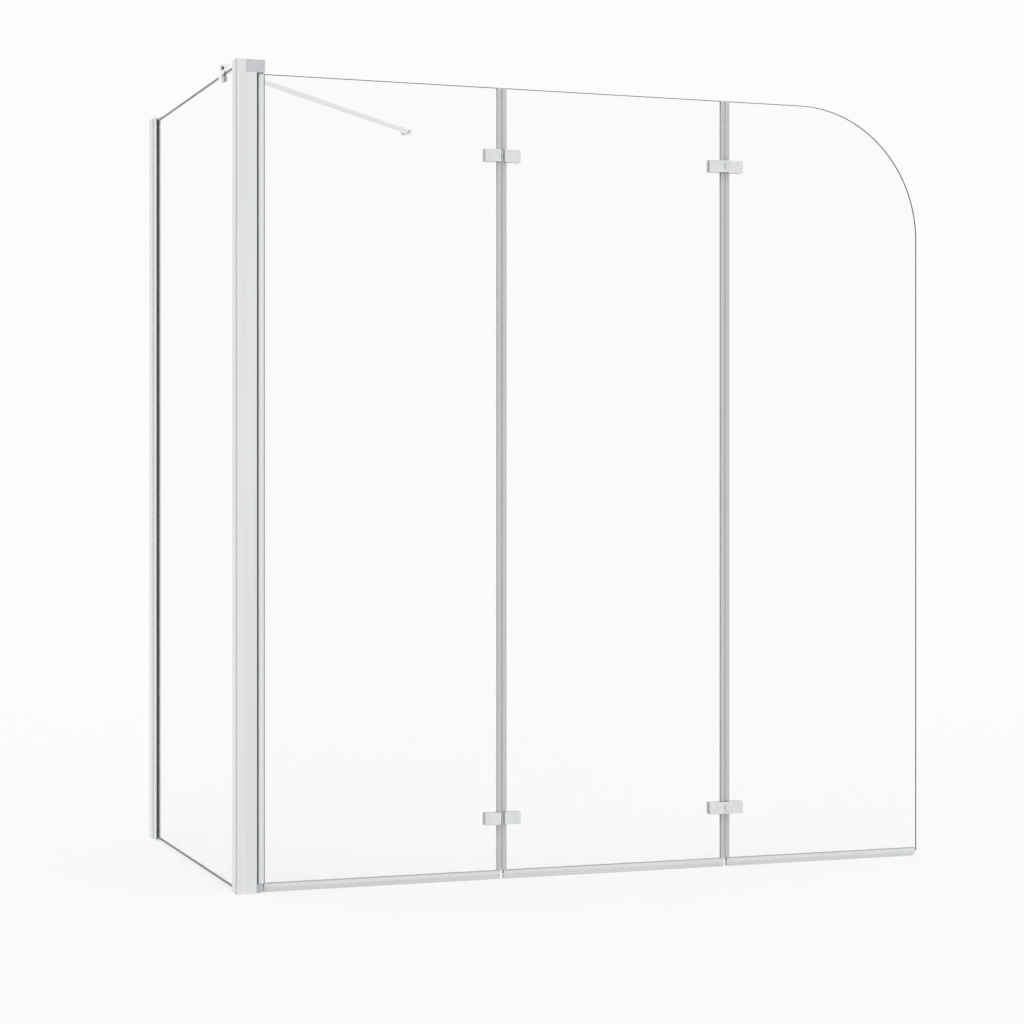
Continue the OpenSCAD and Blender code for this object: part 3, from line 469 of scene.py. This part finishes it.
def edge_seal(node, side, glass, leaves):
    """A seal on an upright glass edge: a rigid clip whose legs grip the glass, and a soft nose.

    side is 1 where the panel lies to the right of the joint. leaves are the hinge leaves that its
    legs make way for.
    """
    low, high = (Vector(corner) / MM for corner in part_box(node))
    edge = (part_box(glass)[0] if side > 0 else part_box(glass)[1])[0] / MM
    tip, nose = (high.x, low.x) if side > 0 else (low.x, high.x)
    front = low.y
    spans = [low.z]
    for leaf in leaves:
        bottom, top = (corner[2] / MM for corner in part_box(leaf))
        spans += [bottom - 0.3, top + 0.3]
    spans.append(high.z)

    def mirrored(half):
        """The section's front half and its reflection behind the middle of the glass."""
        middle = GLASS_FRONT + GLASS_BACK
        return half + [(p[0], middle - p[1], *p[2:]) for p in reversed(half)]

    # From the inner corner at the glass edge, along the leg to its tip, and back along the outer
    # face to the web
    clip = rounded(mirrored([
        (edge, LEG_FACE, 0.2), (tip - side * 0.9, LEG_FACE), (tip, LEG_FACE - 0.2),
        (tip, front + 0.45), (tip - side * 0.9, front + 0.1), (edge + side * 2.4, front),
        (edge - side * 0.3, front), (edge - side * 0.85, front + 0.12),
        (edge - side * 0.9, front + 0.6)]), 0.18)
    # The nose is almost flush with the clip, and swells towards the neighbour's, with a groove
    # down its middle
    middle_y = (GLASS_FRONT + GLASS_BACK) / 2
    lip = rounded(mirrored([
        (edge - side * 0.6, front + 0.4, 0.1), (edge - side * 0.95, front + 0.3, 0.1),
        (nose + side * 0.05, front + 0.3, 0.25), (nose + side * 0.1, middle_y - 1.5),
        (nose, middle_y - 1.0), (nose, middle_y - 0.5, 0.1),
        (nose + side * 0.35, middle_y - 0.2, 0.1)]), 0.3)
    # Between hinge leaves only the part in line with the glass goes through
    neck = rounded(mirrored([
        (edge, GLASS_FRONT + 0.12, 0.1), (edge - side * 1.3, GLASS_FRONT + 0.12),
        (nose + side * 0.1, middle_y - 1.8), (nose, middle_y - 1.1)]), 0.25)
    long_spans = list(zip(spans[0::2], spans[1::2]))
    necks = list(zip(spans[1:-1:2], spans[2:-1:2]))
    rigid = extruded([(clip, a * MM, b * MM) for a, b in long_spans], "z", clip_upright)
    soft = extruded([(lip, a * MM, b * MM) for a, b in long_spans], "z", lip_upright)
    # The necks' pale grey is painted light in the shade between the hinge leaves
    pale = extruded([(neck, a * MM, b * MM) for a, b in necks], "z", neck_painted_light)
    keep(joined([rigid, soft, pale]), node)


edge_seal("panel_1_edge_seal", -1, "panel_1_glass", leaf_pair(1, "outer", "left"))
edge_seal("panel_2_left_seal", 1, "panel_2_glass", leaf_pair(1, "outer", "right"))
edge_seal("panel_2_right_seal", -1, "panel_2_glass", leaf_pair(2, "outer", "left"))
edge_seal("panel_3_edge_seal", 1, "panel_3_glass", leaf_pair(2, "outer", "right"))


def bottom_seal(node, cut_mm=0.0):
    """The seal under a front panel: a rigid channel on the glass, a soft grip along the top of
    each of its legs, and two soft fins below it. The grips' darker grey is painted shade along the
    top of the legs. cut_mm takes the lower corner off its far end."""
    low, high = (Vector(corner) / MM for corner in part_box(node))
    front, top = low.y, high.z
    floor_z = GLASS_LOW[2] / MM
    root = floor_z - 2
    leg_top = top - 1.3

    def behind(half):
        """The reflection of an outline behind the middle of the glass."""
        return [(GLASS_FRONT + GLASS_BACK - p[0], *p[1:]) for p in reversed(half)]

    half = [(LEG_FACE, floor_z, 0.1), (LEG_FACE, leg_top, 0.1), (front + 0.1, leg_top, 0.1),
            (front, leg_top - 0.4), (front, root + 0.9), (front + 0.8, root)]
    grip = [(LEG_FACE, leg_top - 0.05, 0.1), (LEG_FACE, top - 0.4), (LEG_FACE - 0.4, top),
            (front + 0.3, top - 0.1), (front + 0.1, top - 0.7), (front + 0.1, leg_top - 0.05, 0.1)]
    start = front + 0.8
    bend = cut_mm or root / 2
    fin = [(start, root + 0.1), (start, bend), (start + 0.1, 0.0), (start + 0.65, 0.0),
           (start + 0.8, bend), (start + 1.0, root - 0.3), (start + 1.4, root + 0.1)]

    def run(outlines, radius_mm, material):
        """Outlines drawn out along the whole seal."""
        sections = [(rounded(outline, radius_mm), low.x * MM, high.x * MM) for outline in outlines]
        return extruded(sections, "x", material)

    rigid = run([half + behind(half)], 0.2, clip_lying)
    # The grips are painted darker: painted shade along the top of the legs
    grips = run([grip, behind(grip)], 0.25, grip_painted_shade)
    soft = run([fin, behind(fin)], 0.12, lip_lying)
    # The cut runs at 45 degrees across the fins' far end
    for vertex in soft.vertices:
        below = cut_mm * MM - vertex.co.z
        if below > 0 and vertex.co.x > high.x * MM - MM:
            vertex.co.x -= below
    keep(joined([rigid, grips, soft]), node)


bottom_seal("panel_1_bottom_seal")
bottom_seal("panel_2_bottom_seal")
bottom_seal("panel_3_bottom_seal", cut_mm=4.0)


def pivot_gasket():
    """The black gasket in the groove beside the post: a bulb, on a foot that the profile holds."""
    low, high = (Vector(corner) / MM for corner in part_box("pivot_gasket"))
    middle = (low.y + high.y) / 2
    foot = 0.8
    face = high.x - foot
    outline = rounded([
        (high.x, middle + 2), (face, middle + 2, 0.1), (face, high.y), (face - 0.7, high.y),
        (low.x, middle + 1.6, 0.5), (low.x, middle + 0.4), (low.x + 0.4, middle, 0.2),
        (low.x, middle - 0.4), (low.x, middle - 1.6, 0.5), (face - 0.7, low.y), (face, low.y),
        (face, middle - 2, 0.1), (high.x, middle - 2)], 0.3)
    keep(extruded([(outline, low.z * MM, high.z * MM)], "z", epdm_rubber), "pivot_gasket")


pivot_gasket()


# ---- Screws and pins: a tree sets one turned piece out in rows ---------------------------------

def rows_tree():
    """Sets copies of a piece out in rows, each turned at random about its own axis."""
    tree, given = new_tree("set_out_in_rows", [
        ("Start", "NodeSocketVector"), ("Step", "NodeSocketVector"), ("Count", "NodeSocketInt"),
        ("Row step", "NodeSocketVector"), ("Rows", "NodeSocketInt"), ("Axis", "NodeSocketVector"),
        ("Seed", "NodeSocketInt"), ("Material", "NodeSocketMaterial")])
    row = add(tree, "GeometryNodeMeshLine", {"mode": "OFFSET"}, {
        "Count": given["Count"], "Start Location": given["Start"], "Offset": given["Step"]})
    starts = add(tree, "GeometryNodeMeshLine", {"mode": "OFFSET"}, {
        "Count": given["Rows"], "Offset": given["Row step"]})
    rows = add(tree, "GeometryNodeInstanceOnPoints", None, {"Points": starts, "Instance": row})
    places = add(tree, "GeometryNodeRealizeInstances", None, {"Geometry": rows})
    angle = add(tree, "FunctionNodeRandomValue", {"data_type": "FLOAT"}, {
        2: 0.0, 3: 2 * pi, "Seed": given["Seed"]})
    turn = add(tree, "FunctionNodeAxisAngleToRotation", None, {
        "Axis": given["Axis"], "Angle": angle.outputs[1]})
    pieces = add(tree, "GeometryNodeInstanceOnPoints", None, {
        "Points": places, "Instance": given["Geometry"], "Rotation": turn})
    real = add(tree, "GeometryNodeRealizeInstances", None, {"Geometry": pieces})
    done = add(tree, "GeometryNodeSetMaterial", None, {
        "Geometry": real, "Material": given["Material"]})
    add(tree, "NodeGroupOutput", None, {"Geometry": done})
    return tree


set_out = rows_tree()
ROUND = 36  # sides of a turned piece


def turned(profile, axis, socket=None):
    """A turned piece whose axis starts at the origin. profile lists (radius, distance along the
    axis) in millimetres from the tip to the head. socket is the (width, depth) of a hexagon in the
    head."""
    shape = bmesh.new()
    turns = [2 * pi * k / ROUND for k in range(ROUND)]
    rings = []
    for radius, height in profile:
        rings.append([shape.verts.new((radius * cos(t), radius * sin(t), height)) for t in turns])
    for lower, upper in zip(rings, rings[1:]):
        for k in range(ROUND):
            n = (k + 1) % ROUND
            shape.faces.new((lower[k], lower[n], upper[n], upper[k]))
    shape.faces.new(rings[0][::-1])
    if socket:
        width, depth = socket
        top = profile[-1][1]
        corner_r = width / sqrt(3)
        corners = [(corner_r * cos(pi * c / 3), corner_r * sin(pi * c / 3)) for c in range(6)]
        rim = [shape.verts.new((x, y, top)) for x, y in corners]
        pit = [shape.verts.new((x, y, top - depth)) for x, y in corners]
        centre = shape.verts.new((0, 0, top - depth - width * 0.2))
        per_side = ROUND // 6
        for c in range(6):
            n = (c + 1) % 6
            arc = [rings[-1][(c * per_side + k) % ROUND] for k in range(per_side + 1)]
            half = per_side // 2
            for k in range(per_side):
                shape.faces.new((arc[k], arc[k + 1], rim[c] if k < half else rim[n]))
            shape.faces.new((arc[half], rim[n], rim[c]))
            shape.faces.new((rim[c], rim[n], pit[n], pit[c]))
            shape.faces.new((pit[c], pit[n], centre))
    else:
        shape.faces.new(rings[-1])
    bmesh.ops.recalc_face_normals(shape, faces=shape.faces)
    aim = Vector(axis).to_track_quat("Z", "X").to_matrix().to_4x4()
    bmesh.ops.transform(shape, matrix=aim @ Matrix.Scale(MM, 4), verts=shape.verts)
    mesh = bpy.data.meshes.new("turned")
    shape.to_mesh(mesh)
    shape.free()
    mesh.shade_smooth()
    mesh.set_sharp_from_angle(angle=radians(25))
    return mesh


def rows(unit, axis, start, step=(0, 0, 0), count=1, row_step=(0, 0, 0), row_count=1, seed=1):
    """Sets a steel unit out in rows. Places and steps are in metres."""
    return grown(set_out, unit, {
        "Start": tuple(start), "Step": tuple(step), "Count": count, "Row step": tuple(row_step),
        "Rows": row_count, "Axis": axis, "Seed": seed, "Material": turned_steel})


def hinge_screws(node, leaves, seed):
    """Socket-head screws in the inner leaves. leaves are pairs of plates at the two levels, the
    lower one first; two screws go in each."""
    low, high = (Vector(corner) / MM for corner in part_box(node))
    reach = high.y - low.y
    head_r, head_h, shank_r = 3.4, 3.0, 1.95
    inset = 7.5 * MM  # from the plate's ends
    unit = turned([
        (shank_r - 0.4, -reach), (shank_r, 0.4 - reach), (shank_r, -head_h),
        (head_r - 0.2, -head_h), (head_r, 0.2 - head_h), (head_r, -0.5), (head_r - 0.12, -0.2),
        (head_r - 0.45, 0)], (0, 1, 0), socket=(3.0, 1.8))
    meshes = []
    for lower, upper in leaves:
        near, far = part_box(lower)
        level = (near.z + far.z) / 2
        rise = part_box(upper)[0].z - near.z
        meshes.append(rows(
            unit.copy(), (0, 1, 0), (near.x + inset, high.y * MM, level),
            step=(far.x - near.x - 2 * inset, 0, 0), count=2, row_step=(0, 0, rise), row_count=2,
            seed=seed + len(meshes)))
    keep(joined(meshes), node)


# The plain plates give the screws' places, because their boxes hold no knuckles
hinge_screws("panel_1_hinge_screws", [leaf_pair(1, "outer", "left")], 3)
hinge_screws("panel_2_hinge_screws",
             [leaf_pair(1, "outer", "right"), leaf_pair(2, "inner", "left")], 5)
hinge_screws("panel_3_hinge_screws", [leaf_pair(2, "inner", "right")], 9)


def cap_screws():
    """Countersunk screws: two down through the cap, and two up through the block."""
    low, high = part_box("cap_screws")
    head_r, head_h, shank_r = 3.4, 1.7, 1.7
    cap_reach, block_reach = 39.5, 32.0
    meshes = []
    for end, way, reach in ((high.z, 1, cap_reach), (low.z, -1, block_reach)):
        unit = turned([
            (shank_r - 0.4, -reach), (shank_r, 0.5 - reach), (shank_r, -head_h),
            (head_r - 0.1, -0.1), (head_r - 0.2, 0)], (0, 0, way), socket=(2.0, 1.2))
        meshes.append(rows(
            unit, (0, 0, 1), (low.x + head_r * MM, low.y + head_r * MM, end),
            step=(0, high.y - low.y - 2 * head_r * MM, 0), count=2, seed=11 + way))
    keep(joined(meshes), "cap_screws")


def clamp_screws():
    """Grub screws of the clamp: one presses the glass, the other holds the bar."""
    low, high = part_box("clamp_screws")
    radius = 2.0
    across = turned([(radius - 0.7, -3.2), (radius, -2.5), (radius, -0.25), (radius - 0.25, 0)],
                    (1, 0, 0), socket=(1.8, 1.0))
    down = turned([(radius - 0.5, -2.2), (radius, -1.7), (radius, -0.25), (radius - 0.25, 0)],
                  (0, 0, 1), socket=(1.8, 1.0))
    keep(joined([
        rows(across, (1, 0, 0), (high.x, high.y - radius * MM, low.z + radius * MM), seed=15),
        rows(down, (0, 0, 1), (low.x + radius * MM, low.y + radius * MM, high.z), seed=16)]),
        "clamp_screws")


def locking_screws():
    """The three screws that lock the glass profile in the wall channel, under their covers."""
    low, high = (Vector(corner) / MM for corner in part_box("locking_screws"))
    reach = high.x - low.x
    head_r, head_h, shank_r = 2.75, 2.0, 1.5
    unit = turned([
        (shank_r - 0.4, -reach), (shank_r, 0.4 - reach), (shank_r, -head_h), (head_r, -head_h),
        (head_r, -0.9), (head_r - 0.4, -0.3), (head_r - 1.1, 0)], (1, 0, 0), socket=(2.0, 1.0))
    first = (high.x * MM, (low.y + high.y) / 2 * MM, (low.z + head_r) * MM)
    step = (0, 0, (high.z - low.z - 2 * head_r) / 2 * MM)
    keep(rows(unit, (1, 0, 0), first, step=step, count=3, seed=21), "locking_screws")


def pins(node, spans):
    """Plain pins along Z with chamfered ends. spans are their (bottom, top) in millimetres."""
    low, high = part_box(node)
    radius = (high.x - low.x) / MM / 2
    ease = 0.3
    meshes = []
    for bottom, top in spans:
        length = top - bottom
        unit = turned([(radius - ease, 0), (radius, ease), (radius, length - ease),
                       (radius - ease, length)], (0, 0, 1))
        meshes.append(rows(
            unit, (0, 0, 1), ((low.x + high.x) / 2, (low.y + high.y) / 2, bottom * MM)))
    keep(joined(meshes), node)


cap_screws()
clamp_screws()
locking_screws()
# The lengths of each node's lower and upper pin; the foot's single pin fills its box
for node, lengths in (("hinge_1_pins", (19.6, 19.6)), ("hinge_2_pins", (19.6, 19.6)),
                      ("foot_pin", None), ("pivot_pins", (41.4, 44.6))):
    bottom, top = (corner.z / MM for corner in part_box(node))
    pins(node, [(bottom, bottom + lengths[0]), (top - lengths[1], top)] if lengths
         else [(bottom, top)])


# ---- Pieces that keep the solids' own form, with their edges finished --------------------------

def dress(node, materials, width_mm, choose=None, cuts=(), **settings):
    """Puts an eased copy of a CAD node in its place."""
    keep(eased(cad_copy(node, materials, choose, cuts), width_mm, **settings), node)


# Aluminium extrusions: the die leaves small radii. The post's outer edge, and the turn of its
# rounded edge into the groove, are painted darker, as painted shade, so that they show as dark
# lines
dress("corner_post", [anodised, anodised_edge_painted_shade], 0.2,
      lambda face: int(face.normal.y < -0.1 and not -0.1 < face.normal.x < 0.7))
for node in ("wall_profile", "pivot_profile"):
    dress(node, [anodised], 0.2)
# The glass profile's faces inside the side glass's slot take the pale slot finish: painted light
slot_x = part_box("side_glass")[1].x
dress("glass_profile", [anodised, anodised_slot_painted_light], 0.2,
      lambda face: int(face.normal.x < -SQUARE and face.center.x > slot_x))

# Glass: the faces are polished, the edges ground, with an arris of 0.8 mm all round. The side
# glass has its edges ground round, and a band along its top and bottom on both faces carries the
# edge's grey: painted shade, which makes the edge's line stronger
for node in ("panel_1_glass", "panel_2_glass", "panel_3_glass"):
    dress(node, [clear_glass, ground_edge], 0.8, lambda face: int(abs(face.normal.y) < SQUARE),
          segments=1, edge_slot=1, angle=50)
painted_band = 4.6 * MM
clear_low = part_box("side_glass")[0].z + painted_band
clear_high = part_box("side_glass")[1].z - painted_band
dress("side_glass", [clear_glass, coarse_edge_and_painted_band], 2.4,
      lambda face: int(abs(face.normal.x) < SQUARE
                       or not clear_low < face.center.z < clear_high),
      cuts=(clear_low, clear_high), segments=3, edge_slot=1, angle=50)

# Hinge leaves: polished faces; the outer ones have tumbled ends, painted a little darker as
# painted shade
end_area = 40 * MM * MM  # less than a leaf's end, and more than a facet of its bores
for joint in (1, 2):
    for level in ("top", "bottom"):
        for side_name in ("left", "right"):
            dress(f"hinge_{joint}_{level}_inner_{side_name}", [chrome_plate], 0.45)
            dress(f"hinge_{joint}_{level}_outer_{side_name}", [chrome_plate, chrome_end_painted_shade], 0.45,
                  lambda face: int(abs(face.normal.x) > SQUARE and face.area > end_area))

# Caps and fittings
for node in ("top_pivot_cap", "bottom_pivot_block"):
    dress(node, [moulded_abs], 0.5)
dress("screw_caps", [moulded_abs], 0.6, segments=3)
for node in ("brace_clamp", "wall_foot"):
    dress(node, [chrome_mirror], 0.4)
dress("stabiliser_bar", [chrome_tube], 0.25)
dress("bar_tongue", [turned_steel], 0.2)
dress("bar_end_plug", [epdm_rubber], 0.3)

# Gaskets, linings, bushes and nuts
for node in ("post_glass_gasket", "glass_profile_gasket", "glazing_gasket"):
    dress(node, [epdm_rubber], 0.12)
dress("clamp_liner", [pad_rubber], 0.1)
for node in ("panel_1_hinge_pads", "panel_2_hinge_pads", "panel_3_hinge_pads"):
    dress(node, [pale_silicone], 0.1)
for node in ("pivot_bushes", "thrust_washer"):
    dress(node, [turned_nylon], 0.12)
dress("locking_nuts", [turned_steel], 0.2)


# ---- Floor, light and camera -------------------------------------------------------------------

WHITE = tuple(linear("#fcfcfc"))


def seen_directly(tree):
    """1 for rays from the camera, a mirror or glass, and 0 for light that falls on a surface."""
    path = add(tree, "ShaderNodeLightPath").outputs
    mirrored_or_seen = add(tree, "ShaderNodeMath", {"operation": "MAXIMUM"}, {
        0: path["Is Camera Ray"], 1: path["Is Glossy Ray"]})
    return add(tree, "ShaderNodeMath", {"operation": "MAXIMUM"}, {
        0: mirrored_or_seen, 1: path["Is Transmission Ray"]})


def pale_floor():
    """Pale studio floor: it takes the object's soft shadow near by, and is plain white far off."""
    material = bpy.data.materials.new("studio_floor_pale")
    material.use_nodes = True
    tree = material.node_tree
    tree.nodes.clear()
    place = add(tree, "ShaderNodeTexCoord").outputs["Object"]
    away = add(tree, "ShaderNodeVectorMath", {"operation": "LENGTH"}, {0: place})
    fade = add(tree, "ShaderNodeMapRange", None, {
        "Value": away.outputs["Value"], "From Min": 1.2, "From Max": 4.0,
        "To Min": 0.7, "To Max": 1.0})
    share = add(tree, "ShaderNodeMath", {"operation": "MULTIPLY"}, {
        0: fade, 1: seen_directly(tree)})
    paint = add(tree, "ShaderNodeBsdfDiffuse", None, {"Color": WHITE})
    glow = add(tree, "ShaderNodeEmission", None, {"Color": WHITE})
    mix = add(tree, "ShaderNodeMixShader", None, {0: share, 1: paint, 2: glow})
    add(tree, "ShaderNodeOutputMaterial", None, {"Surface": mix})
    return material


REACH = 40.0
FLOOR_Z = -0.0004
floor_mesh = bpy.data.meshes.new("studio_floor")
floor_mesh.from_pydata([
    (-REACH, -REACH, FLOOR_Z), (REACH, -REACH, FLOOR_Z), (REACH, REACH, FLOOR_Z),
    (-REACH, REACH, FLOOR_Z)], [], [(0, 1, 2, 3)])
floor_mesh.materials.append(pale_floor())
floor = bpy.data.objects.new("studio_floor", floor_mesh)
scene.collection.objects.link(floor)

world = bpy.data.worlds.new("studio")
scene.world = world
world.use_nodes = True
sky = world.node_tree
sky.nodes.clear()
# White where it is seen, and a little weaker as light on the object
level = add(sky, "ShaderNodeMapRange", None, {
    "Value": seen_directly(sky), "To Min": 0.78, "To Max": 1.0})
back = add(sky, "ShaderNodeBackground", None, {"Color": WHITE, "Strength": level})
add(sky, "ShaderNodeOutputWorld", None, {"Surface": back})

# One wide soft lamp from the upper left, as in the photograph
lamp_data = bpy.data.lights.new("key_softbox", "SUN")
lamp_data.energy = 0.85
lamp_data.angle = radians(60)
lamp = bpy.data.objects.new("key_softbox", lamp_data)
lamp.rotation_euler = Vector((-0.55, -0.6, 1.1)).to_track_quat("Z", "Y").to_euler()
scene.collection.objects.link(lamp)

# Camera: level, with the photograph's lens and place from the screen's own corners, and the
# horizon a little above the middle of the frame
FRAME_PX = 1024
FOCAL_PX = 2450
HORIZON_PX = 491.2
camera_data = bpy.data.cameras.new("photo_camera")
camera_data.sensor_width = 36.0
camera_data.sensor_fit = "HORIZONTAL"
camera_data.lens = camera_data.sensor_width * FOCAL_PX / FRAME_PX
camera_data.shift_y = (HORIZON_PX - FRAME_PX / 2) / FRAME_PX
camera = bpy.data.objects.new("photo_camera", camera_data)
camera.location = (-1.4807, -4.0674, 0.6271)
camera.rotation_euler = (radians(90), 0, -0.3442)
scene.collection.objects.link(camera)
scene.camera = camera
